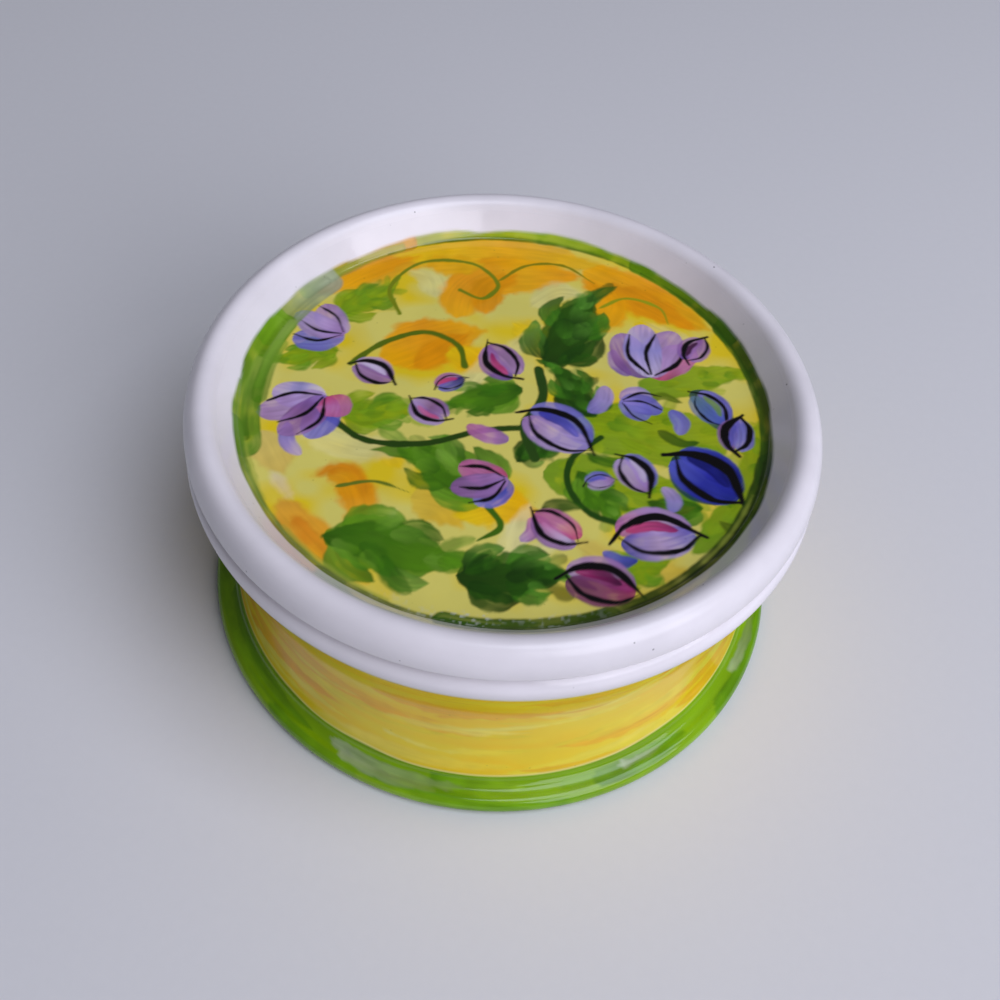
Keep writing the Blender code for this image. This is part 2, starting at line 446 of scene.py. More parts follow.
def stroke(
    paint, path, half_width, inks, shape="petal", soft=0.3, opacity=0.92, ragged=0.15, hairs=0.16, pooled=0.12, seed=1
):
    """One stroke of a wet brush: a path in millimetres, its widest half width, and its inks from start to end.

    Its edge fades over the soft width and wanders by the ragged one. The hairs of the brush leave lines along it,
    it is thin in places, and the paint is pooled, and so a little darker, at its edge.
    """
    nodes = smooth_path(path)
    margin = half_width + ragged + soft
    low, high = nodes.min(axis=0) - margin, nodes.max(axis=0) + margin
    near = np.flatnonzero(np.all((paint.place > low) & (paint.place < high), axis=1))
    if not len(near):
        return
    spot = paint.place[near][:, None]
    start, step = nodes[:-1], np.diff(nodes, axis=0)
    run = np.maximum(np.hypot(step[:, 0], step[:, 1]), 1e-6)
    part = np.clip(((spot - start) * step).sum(axis=2) / run**2, 0, 1)
    gap = spot - start - part[..., None] * step
    distance = np.hypot(gap[..., 0], gap[..., 1])
    pick = distance.argmin(axis=1)
    rows = np.arange(len(near))
    distance, part, gap = distance[rows, pick], part[rows, pick], gap[rows, pick]
    before = np.concatenate([[0], np.cumsum(run)])
    reach = before[pick] + part * run[pick]
    share = reach / before[-1]
    side = np.sign(step[pick, 0] * gap[:, 1] - step[pick, 1] * gap[:, 0])
    width = half_width * BRUSH_SHAPES[shape](share)
    across, away = paint.place[near].T
    coarse = mottle(across / COARSE + seed, away / COARSE, seed)
    fine = mottle(across / FINE, away / FINE + seed, seed + 5)
    inner = width - distance + ragged * 2 * (coarse * 0.65 + fine * 0.35 - 0.5)
    cover = eased(np.clip(inner / soft + 0.5, 0, 1)) * opacity
    shades = np.array([srgb(ink) for ink in inks])
    stops = np.linspace(0, 1, len(inks))
    tint = np.stack([np.interp(share, stops, shades[:, channel]) for channel in range(3)], axis=1)
    bristles = mottle(side * distance / BRISTLE + 20, reach / HAIR_LENGTH, seed + 31) - 0.5
    pools = mottle(across / POOL, away / POOL, seed + 57) - 0.5
    rim = np.exp(-((inner / BRISTLE) ** 2))
    tint = tint * (1 + hairs * (1.5 * bristles + 1.6 * pools) - pooled * rim)[:, None]
    cover = cover * (1 - 0.22 * np.clip(pools * 2 + bristles, 0, 1) * (hairs > 0.1))
    paint.cover(tint, cover, near)


def ink_line(paint, path, half_width, seed, ink=INK, shape="swell"):
    """A dark line drawn with the tip of the brush."""
    brush = {"soft": 0.24, "opacity": 1.0, "ragged": 0.1, "hairs": 0.05, "pooled": 0.0}
    stroke(paint, path, half_width, [ink], shape, seed=seed, **brush)


def strokes(paint, rows, seed, **brush):
    """Several strokes laid one over the other. A row is a path, a half width and inks from start to end."""
    for number, (path, half_width, *inks) in enumerate(rows):
        stroke(paint, path, half_width, inks, seed=seed + number, **brush)


def foliage(paint, spine, half_width, greens, dabs, size, seed):
    """A leaf: a soft body along its spine, then short wet dabs that fan out from it."""
    random = np.random.RandomState(seed)
    draw, pick = random.uniform, random.randint
    middle = greens[len(greens) // 2]
    stroke(paint, spine, half_width, [middle, greens[0]], "leaf", soft=0.45, ragged=0.45, hairs=0.1, seed=seed)
    nodes = smooth_path(spine)
    for dab in range(dabs):
        along_spine = draw(0.04, 0.9)
        at = min(int(along_spine * len(nodes)), len(nodes) - 2)
        ahead = nodes[at + 1] - nodes[at]
        bearing = math.atan2(ahead[1], ahead[0])
        sideways = draw(-1, 1)
        width = half_width * math.sin(math.pi * along_spine**0.8) ** 0.8
        start = nodes[at] + sideways * width * 0.7 * np.array([-math.sin(bearing), math.cos(bearing)])
        lean = bearing + sideways * 0.8 + draw(-0.25, 0.25)
        reach = size * draw(1.3, 2.8)
        bend = lean + draw(-0.5, 0.5)
        half = start + 0.5 * reach * np.array([math.cos(lean), math.sin(lean)])
        tip = half + 0.5 * reach * np.array([math.cos(bend), math.sin(bend)])
        ink = greens[pick(len(greens))]
        dab_width = size * draw(0.35, 0.62)
        inks = [ink, greens[pick(len(greens))]]
        brush = {"opacity": draw(0.4, 0.75), "soft": 0.5, "ragged": 0.3, "hairs": 0.22, "pooled": 0.04}
        stroke(paint, [start, half, tip], dab_width, inks, "petal", seed=seed + dab, **brush)


def edge_band(paint, start, end, radius, half_width, inks, **brush):
    """A stroke that follows the edge of the panel from one bearing to the other, in degrees."""
    turns = [math.radians(start + (end - start) * step / 10) for step in range(11)]
    path = [(radius * math.cos(turn), radius * math.sin(turn)) for turn in turns]
    stroke(paint, path, half_width, inks, **brush)


# ---------------------------------------------------------------- the painted panel of the lid

LILAC, MAUVE, PALE_LILAC, WHITE_LILAC = "#A67EB8", "#92609C", "#BA9FD0", "#D2C2E0"
BLUE_LILAC, PERIWINKLE, BLUE, DEEP_BLUE = "#8880CA", "#6662C2", "#2C30A4", "#15186C"
PINK, ROSE, MAGENTA, PLUM = "#C671A4", "#D0487C", "#A41E66", "#43143A"
YELLOW_GREEN, LIGHT_GREEN, MID_GREEN = "#9CB00C", "#7AA41A", "#4E8610"
DEEP_GREEN, BLACK_GREEN, OLIVE = "#2C5E08", "#173A06", "#5A7010"
AMBER, ORANGE, GOLD, PALE_LEMON = "#F6B200", "#F09C00", "#F0CC0C", "#EAE49A"

PAINT_RADIUS = 26.2  # millimetres from the middle to where the paint ends on the slope of the recess

# Washes of the ground and patches of it that stay pale: each is a path, a half width and its inks.
AMBER_WASHES = (
    ([(-21, 14), (-15, 19.5), (-7, 23)], 2.6, "#E8B028", "#E6A81C", AMBER),
    ([(-14, 21), (-4, 23.5), (5, 23), (11, 21.5)], 2.6, GOLD, AMBER, "#EBBE1C"),
    ([(-6, 12), (-5.5, 16), (-3, 19), (2, 20), (7, 20.5)], 3.2, AMBER, ORANGE, AMBER, ORANGE),
    ([(-3, 13), (-3, 17), (0, 20)], 1.8, ORANGE, "#E59A02", ORANGE),
    ([(-17.5, 12.5), (-15, 16)], 1.7, "#E8B00C", AMBER),
    ([(-10, 20), (-4, 21)], 1.7, AMBER, "#E9B410"),
    ([(7, 21.5), (13, 18.5), (21, 13.5)], 3.2, AMBER, ORANGE, "#E9AE10"),
    ([(10, 19.5), (15, 16.5), (20, 13)], 1.6, "#E29402", ORANGE),
    ([(13, 13.5), (19, 10)], 1.9, GOLD, "#E4CC3A"),
    ([(-13, 5), (-8.5, 8.0), (-3, 10.5)], 3.6, AMBER, ORANGE, AMBER),
    ([(-9.5, 4.5), (-7, 7), (-4.5, 10)], 1.6, ORANGE, "#E39200"),
    ([(-6, 7.5), (-2.5, 4.5)], 2.0, GOLD, AMBER),
    ([(0, 12), (4, 9), (3, 5)], 1.8, GOLD, "#E2CC4A"),
    ([(4, 14), (5, 11)], 1.0, GOLD, "#DCC850"),
    ([(-16, -10.5), (-14, -11), (-12.5, -14), (-13, -17)], 1.7, "#E8A010", ORANGE, "#E8B030"),
    ([(-17, -11), (-15, -9.5), (-13, -10.5), (-12, -13.5)], 0.7, "#E08A0C", "#E29410"),
    ([(-20, -14), (-16, -18), (-11, -22)], 2.0, "#E4A83A", "#EBA220", AMBER),
    ([(-18, -16), (-14, -20)], 0.8, "#E08A1C", "#E59A20"),
    ([(-8, -12.5), (-5, -13), (-3, -15.5)], 2.4, "#DDBE40", "#E2B628"),
    ([(-11, -6), (-9.5, -9)], 1.3, "#E2C040", GOLD),
    ([(7, -15.5), (12, -18.5), (18, -18)], 1.6, "#DCC660", "#E0C23C"),
    ([(-23, -6), (-20, -11)], 1.8, "#DCC66A", "#DDBE5A"),
    ([(7.5, 12), (10, 16), (7.5, 20)], 2.3, AMBER, ORANGE),
    ([(-3.5, -14), (0.5, -12.5), (4, -13.5)], 2.3, GOLD, AMBER),
    ([(-19.5, 15), (-16, 18.5), (-11, 21.5)], 1.6, AMBER, ORANGE),
)
PALE_PATCHES = (
    ([(-8.5, 15), (-9.5, 18), (-12, 19)], 1.4, PALE_LEMON, "#E0D88A"),
    ([(2, 15), (4.5, 17.5), (7.5, 17.5)], 1.6, "#DDD78C", PALE_LEMON),
    ([(-20, -5), (-14, -7), (-8, -6.5)], 1.7, PALE_LEMON, "#E0D890"),
    ([(-4, 1), (-3, 4), (1, 9), (3, 12)], 1.3, PALE_LEMON, "#DED68C"),
    ([(-10, -21), (-10.5, -18), (-9, -14)], 1.1, "#EAE4B2", PALE_LEMON),
    ([(3, -12), (2, -18), (6, -16)], 1.3, "#E9E3AE", PALE_LEMON),
    ([(-21, -11), (-18.5, -14)], 0.6, "#EAD8B8", "#E6CC98"),
    ([(19, 11), (14, 14)], 0.9, PALE_LEMON, "#DED07C"),
)


def wash_ground(paint):
    """The thin yellow ground, uneven from the sponge, with amber washes over it."""
    across, away = paint.place.T
    cloud = mottle(across / 6.5 + 11, away / 5.2 + 3, 5) * 0.6 + mottle(across / 2.2, away / 1.8, 9) * 0.4
    paint.cover(srgb("#E8CC20"), np.clip((cloud - 0.4) * 2.8, 0, 1))
    wet = {"shape": "leaf", "soft": 1.0, "opacity": 0.94, "ragged": 0.6, "hairs": 0.09, "pooled": 0.03}
    strokes(paint, AMBER_WASHES, 60, **wet)
    strokes(paint, PALE_PATCHES, 90, shape="leaf", soft=0.9, opacity=0.65, ragged=0.4, pooled=0.0)


def edge_of_panel(paint):
    """The green line round the recess, thick and thin as the brush went, and painted darker at the front and on the
    right where the rim's shadow falls: there it is partly the paint's own dark green and partly painted shade.

    A band is its first and last bearing in degrees, its radius, half width, inks and opacity.
    """
    bands = (
        (56, 122, 26.3, 0.6, ["#7CA80A", "#8CB00E", "#A9A82A"], 0.95),
        (118, 148, 26.2, 0.85, ["#DE9A1C", "#C6A43A", "#8FAE3A"], 0.85),
        (120, 146, 25.9, 0.35, ["#A9A838", "#9DA83A", "#7E9E30"], 0.8),
        (142, 164, 25.6, 1.6, ["#A3AE92", "#8C9F6C", "#7BA01C"], 0.85),
        (160, 198, 25.6, 1.7, ["#6C9C10", "#4E8208", "#5E8E20"], 0.92),
        (158, 180, 24.6, 0.5, ["#9AB45A", "#7FA832"], 0.6),
        (172, 196, 25.4, 0.4, ["#86A83A", "#3F7206"], 0.7),
        (166, 184, 24.2, 0.8, ["#7FA832", "#4E8208"], 0.7),
        (192, 240, 26.3, 0.8, ["#5F8A20", "#6F8A38", "#7A8A3A"], 0.92),
        (236, 268, 26.2, 0.7, ["#6E7E38", "#5C6E2C", "#47640F"], 0.92),
        # Bearings 262 to 420, the front and the right: dark olive greens that are partly the paint's own colour and
        # partly painted shade of the rim.
        (262, 294, 26.0, 1.15, ["#33600A", "#2E560A", "#33500C"], 0.95),
        (290, 350, 26.1, 1.15, ["#3A5209", "#2E4409", "#2C4A0A"], 0.95),
        (345, 392, 26.2, 1.0, ["#2C4A0A", "#33580A", "#3F6A0C"], 0.95),
        (388, 420, 26.2, 0.8, ["#3F6A0C", "#5C8C08", "#6B9A0A"], 0.95),
    )
    # The last dark row, near black at the front right, is the crease line darkened with painted shade where the rim's
    # shadow falls.
    dark_rows = ((58, 124, "#3F6A06"), (10, 58, "#2E5206"), (296, 350, "#1B2B04"))
    pale_rows = ((196, 214), (222, 250), (318, 340))
    for number, (*run, inks, opacity) in enumerate(bands):
        edge_band(paint, *run, inks, shape="dab", opacity=opacity, ragged=0.1, seed=120 + number)
    for number, (start, end, ink) in enumerate(dark_rows):
        edge_band(paint, start, end, 25.7, 0.2, [ink], shape="swell", opacity=0.8, ragged=0.1, seed=140 + number)
    for number, (start, end) in enumerate(pale_rows):
        edge_band(paint, start, end, 25.4, 0.25, ["#A6B342"], shape="swell", soft=0.4, opacity=0.6, seed=150 + number)


def placed(path, at=(0, 0), turn=0, size=1.0, flip=1):
    """A path drawn about its own middle, sized, turned in degrees and moved to its place on the panel."""
    cos, sin = math.cos(math.radians(turn)) * size, math.sin(math.radians(turn)) * size
    return [(at[0] + x * cos - y * flip * sin, at[1] + x * sin + y * flip * cos) for x, y in path]


def leaf(paint, at, turn, size, greens, flip, seed):
    """A lobed leaf: a wet body along its spine, lobes pulled out to both sides, and a bent tip."""
    spine = placed([(-4.6, -0.3), (-1.6, 0.4), (1.6, 0.2), (4.6, 0.7)], at, turn, size, flip)
    stroke(paint, spine, 2.3 * size, greens[:2], "leaf", soft=0.45, ragged=0.5, hairs=0.1, seed=seed)
    lobes = (
        ([(-3.6, 0.4), (-2.2, 2.3), (0.2, 2.7)], 1.15),
        ([(-0.8, 0.6), (1.0, 2.3), (2.9, 2.1)], 0.95),
        ([(-3.9, -0.6), (-2.4, -2.1), (-0.2, -2.6)], 1.1),
        ([(-0.4, -0.6), (1.4, -1.9), (3.3, -1.5)], 0.85),
        ([(2.2, 0.4), (4.4, 0.9), (6.3, 2.2)], 0.6),
    )
    for number, (path, half_width) in enumerate(lobes):
        inks = [greens[number % len(greens)], greens[(number + 2) % len(greens)]]
        path = placed(path, at, turn, size, flip)
        stroke(paint, path, half_width * size, inks, "leaf", soft=0.35, ragged=0.3, hairs=0.2, seed=seed + number)
    foliage(paint, spine, 1.6 * size, greens, 10, 1.3 * size, seed + 9)


def bud(paint, at, turn, size, back, front, accent, pressed, seed):
    """A closed bud: two wet petals side by side, a streak between them, and two dark lines that meet at its tip."""
    petals = (
        ([(-2.4, 0.5), (0, 1.1), (2.4, 0.1)], 1.15, back),
        ([(-2.3, -0.5), (0.2, -0.7), (2.5, -0.1)], 1.25, front),
        ([(-1.8, 0.5), (0, 0.7), (1.5, 0.2)], 0.42, accent),
    )
    for number, (path, half_width, inks) in enumerate(petals):
        path = placed(path, at, turn, size)
        stroke(paint, path, half_width * size, inks, "petal", hairs=0.2, seed=seed + number)
    over = placed([(-3.0, -0.4), (-1.5, 1.0), (0.8, 1.3), (3.2, -0.5)], at, turn, size)
    under = placed([(-2.3, 0.0), (-0.9, -1.2), (1.3, -1.3), (2.8, -0.3)], at, turn, size)
    ink_line(paint, over, pressed * 0.92, seed + 3)
    ink_line(paint, under, pressed * 0.62, seed + 4)


def bloom(paint, at, turn, size, petals, pressed, seed):
    """An open flower seen from the side: petals that fan out from its foot, with bowed lines between them."""
    for number, (lean, reach, inks) in enumerate(petals):
        path = placed(placed([(0.2, 0), (reach * 0.5, 0.3), (reach, 0)], turn=lean), at, turn, size)
        stroke(paint, path, 1.3 * size, inks, "petal", hairs=0.2, soft=0.28, seed=seed + number)
    for number, (lean, bow) in enumerate(((-27, -0.5), (3, 0.5), (27, 0.7))):
        path = placed(placed([(0.5, 0), (2.4, bow), (4.3, 0)], turn=lean), at, turn, size)
        ink_line(paint, path, pressed, seed + 9 + number)


def lay_leaves(paint):
    """Leaves and patches of green, the light ones first."""
    field = (YELLOW_GREEN, "#86A60C", LIGHT_GREEN, "#6E9A0A", YELLOW_GREEN, "#A8B81C", MID_GREEN)
    patches = (
        ([(5, -1), (12, -2), (18, -2), (25, 0)], 3.9, 34, 1.3),
        ([(4, -8), (11, -9), (18, -10)], 3.4, 26, 1.2),
        ([(13, 4), (19, 6), (24, 8)], 2.0, 14, 0.9),
        ([(18, -16), (23.5, -9.5), (25.2, 1)], 2.2, 20, 1.1),
    )
    for number, (spine, half_width, dabs, size) in enumerate(patches):
        foliage(paint, spine, half_width, field, dabs, size, seed=30 + number)
    light = (YELLOW_GREEN, LIGHT_GREEN, "#76A012", "#5E9418")
    middle = ("#5A9010", MID_GREEN, "#6FA026", DEEP_GREEN, "#3F7A0C", "#7CA83A")
    deep = (DEEP_GREEN, "#2C6408", BLACK_GREEN, "#4A8A1C", "#5E9A30")
    leaves = (
        ((-15.5, 13.5), 40, 0.8, light, 1),
        ((-20.5, 4.5), 205, 0.7, light, -1),
        ((-12.5, -2.0), 12, 0.85, light, -1),
        ((-4.5, -8.5), 152, 1.25, middle, 1),
        ((9.5, -10.5), -50, 0.75, middle, -1),
        ((-9.0, -18.8), -14, 1.35, middle, 1),
        ((2.0, -20.0), 12, 1.1, deep, -1),
        ((5.8, 12.0), 74, 1.35, deep, -1),
        ((7.0, 3.0), 118, 0.85, deep, 1),
        ((3.5, -5.5), 35, 0.55, deep, 1),
        ((-2.2, 1.2), 198, 0.85, middle, 1),
        ((12.8, -18.6), 16, 0.7, light, 1),
        ((16.5, -11.5), 200, 0.6, middle, -1),
    )
    for number, row in enumerate(leaves):
        leaf(paint, *row, seed=40 + 17 * number)


def lay_stems(paint):
    """Olive tendrils and the dark stems, each drawn in one pull of a thin brush, seeded by where it starts."""
    stems = (
        ([(-12, 12), (-13.5, 16), (-10.5, 20.5), (-5, 21), (-2, 18), (-3.5, 15.5), (-6, 16.5)], 0.24, "#7C8A10", "dab"),
        ([(-2, 18.5), (1, 21.5), (5, 22), (8.5, 19.5)], 0.2, "#8A8608", "line"),
        ([(9, 15.5), (12, 17.5), (15.5, 16.5), (16.5, 14)], 0.2, "#9AA012", "line"),
        ([(-16, 4), (-13, 7.5), (-9, 9.5), (-5.5, 8), (-4.5, 5)], 0.34, "#5A700C", "dab"),
        ([(-17, -3.5), (-13, -6), (-7.5, -5.8), (-2, -3.5), (3, -2.5)], 0.38, "#28460C", "dab"),
        ([(3, 5.5), (3.6, 1.5), (2.0, -2.5), (3.2, -6.5)], 0.5, "#2A4A12", "dab"),
        ([(9.5, -3), (6.8, -6), (6.5, -9.5), (8.5, -12.5), (11.5, -13.5)], 0.34, "#23480C", "dab"),
        ([(-15, -12), (-11.5, -11), (-8, -12)], 0.18, "#6A7A1E", "line"),
        ([(-1, -12.5), (0.5, -15), (-1.5, -16.8)], 0.3, "#3F6A0C", "line"),
    )
    for path, half_width, ink, shape in stems:
        ink_line(paint, path, half_width, round(path[0][0] * 7) % 90 + 100, ink, shape)


# Touches of green and single petals: each is a path, a half width and its inks.
GREEN_TOUCHES = (
    ([(8, -5.2), (10.5, -6.2), (12.5, -5.4)], 0.7, DEEP_GREEN, "#4A7A0C"),
    ([(15, -1.5), (17.5, -3), (19, -2.6)], 0.6, OLIVE, DEEP_GREEN),
    ([(14, -10.6), (16.5, -11.4), (18.6, -10.6)], 0.7, DEEP_GREEN, OLIVE),
    ([(20.5, -12), (22, -13.6), (21.5, -15.6)], 0.7, OLIVE, "#6E8A0A"),
    ([(4, -12.8), (6, -11.8), (8, -12)], 0.8, BLACK_GREEN, DEEP_GREEN),
    ([(13.5, 2.0), (15.5, 3.2), (17.5, 2.6)], 0.5, "#6E8A0A", OLIVE),
)
LOOSE_PETALS = (
    ([(8.2, 0.2), (9.6, 1.8), (9.8, 4.0)], 1.0, BLUE_LILAC, PALE_LILAC),
    ([(-3.6, -3.0), (-1.6, -4.0), (0.6, -4.4)], 1.0, PINK, "#A070B8"),
    ([(16.4, 1.4), (17.4, -0.2), (17.2, -1.8)], 0.9, PERIWINKLE, BLUE_LILAC),
    ([(9.8, -16.8), (11.4, -17.6), (13.0, -17.4)], 0.7, PERIWINKLE, BLUE),
    ([(15.4, -8.6), (16.4, -10.0), (16.2, -11.6)], 0.8, PALE_LILAC, BLUE_LILAC),
    ([(2.4, -16.4), (3.4, -15.2), (3.2, -13.6)], 0.7, LILAC, PINK),
    ([(-20.8, -4.6), (-20.4, -7.0), (-18.8, -8.6)], 0.8, PERIWINKLE, PALE_LILAC),
    ([(10.6, 9.4), (10.9, 7.4), (12.4, 5.8)], 0.8, "#B68CC4", "#7C58A8"),
)


def lay_loose_petals(paint):
    """Dark green touches and single wet petals between the flowers."""
    strokes(paint, GREEN_TOUCHES, 180, shape="leaf", soft=0.4, ragged=0.25)
    strokes(paint, LOOSE_PETALS, 190, shape="petal", hairs=0.2)


def lay_flowers(paint):
    """Open flowers and buds in lilac, pink and blue, each with its dark lines.

    A row is a flower's place, its turn in degrees, its size, its petals, how hard its lines are pressed, and its seed.
    """
    lilac, pale, white = [LILAC, PALE_LILAC, "#9C8CCC"], [PALE_LILAC, LILAC], [WHITE_LILAC, "#9C96D6", PALE_LILAC]
    mauve, rose, blue = [LILAC, MAUVE], [ROSE, PINK, "#C86A9E"], [BLUE, PERIWINKLE, BLUE_LILAC]
    soft_blue, deep_blue, teal = [BLUE_LILAC, PERIWINKLE], ["#4A52C0", BLUE, DEEP_BLUE], ["#123C46", "#1C4A52"]
    plum, violet = ["#6A2A5C", "#8C3A70", MAGENTA], ["#7C58A8", MAUVE, LILAC]
    pink, berry = [PINK, "#B48CC8", LILAC], [BLUE, PALE_LILAC, PERIWINKLE]
    wide_open = ((-42, 4.0, white), (38, 4.4, blue), (-16, 5.2, pale), (14, 5.0, violet), (60, 2.2, rose))
    half_open = ((-36, 4.4, rose), (34, 4.6, violet), (-12, 5.0, pale), (13, 5.2, white))
    blooms = (
        ((-17.0, 8.0), 158, 1.26, ((-34, 4.2, pale), (34, 4.4, soft_blue), (-4, 5.0, lilac)), 0.17, 200),
        ((-17.5, -0.5), 222, 1.38, wide_open, 0.24, 215),
        ((14.5, 5.5), 82, 1.56, half_open, 0.27, 230),
        ((1.0, -9.2), 196, 1.14, ((-30, 4.4, rose), (32, 4.0, blue), (2, 5.0, mauve)), 0.22, 245),
        ((11.2, 2.2), -14, 1.02, ((-26, 3.6, soft_blue), (26, 3.4, lilac), (0, 4.4, soft_blue)), 0.14, 260),
    )
    for row in blooms:
        bloom(paint, *row)
    stroke(paint, [(16.6, -4.6), (19.2, -6.6), (22.4, -9.0)], 3.3, teal, "petal", soft=0.25, hairs=0.1, seed=271)
    stroke(paint, [(18.6, 4.3), (20.4, 2.6), (22.0, -0.6)], 1.7, teal, "petal", seed=312)
    buds = (
        ((19.6, -6.8), -36, 1.53, deep_blue, ["#5A60C8", BLUE, "#252B98"], [DEEP_BLUE], 0.7, 272),
        ((-0.8, 6.2), 128, 1.07, violet, mauve, [ROSE, MAGENTA], 0.38, 280),
        ((-13.6, 3.2), -24, 0.90, pale, mauve, [WHITE_LILAC], 0.4, 288),
        ((5.2, -2.4), -30, 1.47, soft_blue, lilac, [BLUE, PERIWINKLE], 0.42, 296),
        ((12.8, -7.2), -56, 0.96, soft_blue, pale, [WHITE_LILAC], 0.42, 304),
        ((20.4, 2.2), -52, 0.96, soft_blue, ["#5C7C8A", "#5562C4"], ["#84A04A", "#6E9450"], 0.24, 313),
        ((22.9, -1.2), 84, 0.90, violet, soft_blue, [PERIWINKLE], 0.5, 320),
        ((5.6, -14.6), 148, 1.02, mauve, rose, [WHITE_LILAC, PINK], 0.3, 328),
        ((14.6, -14.4), 12, 1.47, pink, berry, [ROSE, MAGENTA], 0.48, 336),
        ((9.6, -20.2), -8, 1.30, ["#B490BC", "#9A62A0"], plum, [MAGENTA, PLUM], 0.5, 344),
        ((-7.4, -1.4), 152, 0.85, pale, [LILAC, MAUVE, PALE_LILAC], [ROSE, PINK], 0.26, 376),
        ((-5.8, 2.6), 34, 0.62, [PINK, LILAC], [PERIWINKLE, DEEP_BLUE], [ROSE], 0.12, 352),
        ((9.4, -8.6), 20, 0.56, soft_blue, pale, [PERIWINKLE], 0.1, 360),
        ((19.2, 10.4), 66, 0.79, violet, mauve, [PLUM], 0.34, 368),
    )
    for row in buds:
        bud(paint, *row)


def paint_lid(piece, finish):
    """Paints the panel of the lid: ground, leaves, stems, flowers and edge, and the white glaze outside it."""
    points = points_of(piece)
    across, away = points[:, 0], points[:, 1]
    paint = Paint(across, away, finish.lemon)
    for layer in (wash_ground, lay_leaves, lay_stems, lay_loose_petals, lay_flowers, edge_of_panel):
        layer(paint)
    radius, bearing = np.hypot(across, away), np.arctan2(away, across)
    waver = mottle(bearing * 7 + 30, radius * 0, 77) * 0.28 + mottle(bearing * 16 + 99, radius * 0, 78) * 0.08
    bare = np.clip((radius - PAINT_RADIUS - waver) / 0.2 + 0.5, 0, 1)
    paint.cover(np.array(finish.white), bare)
    # Chalky grains that gather in the crease at the front.
    grains = mottle(across / 0.28 + 5, away / 0.28, 79) * np.clip((radius - 23.2) / 1.6, 0, 1)
    front = np.clip((-np.sin(bearing) - 0.9) / 0.1, 0, 1)
    patches = np.clip((mottle(across / 2, away / 2, 80) - 0.2) * 2, 0, 1)
    chalk = np.clip((grains - 0.6) * 4, 0, 1) * (front * patches) * (1 - bare) * 0.6
    paint.cover(srgb("#C9CFC4"), chalk)
    paint.onto(piece)


# ---------------------------------------------------------------- the painted outside of the base


def round_stroke(paint, girth, bearing, height, sweep, rise, half_width, inks, **brush):
    """A stroke round the base, from a bearing in degrees and a height in millimetres."""
    start, run = girth * (bearing % 360) / 360, girth * sweep / 360
    path = [(start + run * part, height + rise * part * (1.5 - part) * 2) for part in (0, 0.35, 0.7, 1)]
    for shift in (-girth, 0, girth):
        stroke(paint, [(x + shift, y) for x, y in path], half_width, inks, **brush)


WALL_AMBERS = ("#F2B400", "#F3BC04", "#EFA800", "#F5C408", "#F0AE00", "#EAA000")
WALL_PALES = ("#F0DC24", "#F3E044", "#EDD616", "#F2E468")
FOOT_GREENS = ("#528C04", "#649C06", "#86B00A", "#70A404", "#8EB818", "#447E04", "#7AAC06")


def streak_wall(paint, girth, band_low, random):
    """Broad amber and pale streaks, a few thin darker ones, and an orange dash at the front right."""
    draw, pick = random.uniform, random.randint
    for number in range(120):
        inks = WALL_AMBERS if draw(0, 1) < 0.58 else WALL_PALES
        level = 3.6 + (band_low - 4.2) * draw(0, 1)
        run = draw(0, 360), level, draw(14, 52), draw(-0.9, 1.3), draw(0.3, 1.25)
        inks = [inks[pick(4)], inks[pick(4)]]
        brush = {"soft": draw(0.3, 0.7), "opacity": draw(0.55, 0.95), "ragged": 0.35, "hairs": 0.08, "pooled": 0.03}
        round_stroke(paint, girth, *run, inks, shape="leaf", seed=400 + number, **brush)
    for number in range(18):
        run = draw(0, 360), 4.0 + (band_low - 5.0) * draw(0, 1), draw(8, 30), draw(-0.5, 0.8), draw(0.1, 0.24)
        inks = [WALL_AMBERS[pick(6)], "#E08E00"]
        brush = {"soft": 0.25, "opacity": draw(0.35, 0.65), "ragged": 0.06}
        round_stroke(paint, girth, *run, inks, shape="swell", seed=530 + number, **brush)
    dash = 306, band_low - 7.4, 26, 1.8, 0.85
    round_stroke(paint, girth, *dash, ["#F0940A", "#EC6E0E", "#F08A10"], shape="leaf", soft=0.4, seed=16)


def brush_foot(paint, girth, random):
    """Broad green strokes round the foot, and a few spots where the green lies thin."""
    draw, pick = random.uniform, random.randint
    for number in range(40):
        run = draw(0, 360), draw(-1.6, 2.0), draw(14, 40), draw(-0.2, 0.2), draw(0.6, 1.3)
        inks = [FOOT_GREENS[pick(7)], FOOT_GREENS[pick(7)]]
        brush = {"soft": 0.3, "opacity": draw(0.4, 0.8), "ragged": 0.12, "hairs": 0.22}
        round_stroke(paint, girth, *run, inks, shape="line", seed=600 + number, **brush)
    thin_spots = (
        (240, 1.6, 30, -0.2, 0.6),
        (243, 0.9, 20, -0.2, 0.5),
        (300, 1.4, 10, -0.2, 0.45),
        (333, 1.2, 16, -0.2, 0.5),
        (92, 1.2, 26, -0.2, 0.6),
    )
    brush = {"shape": "line", "soft": 0.3, "opacity": 0.8, "ragged": 0.3, "hairs": 0.2}
    for number, run in enumerate(thin_spots):
        round_stroke(paint, girth, *run, ["#A6B890", "#8CA468", "#7A9A3A"], seed=640 + number, **brush)


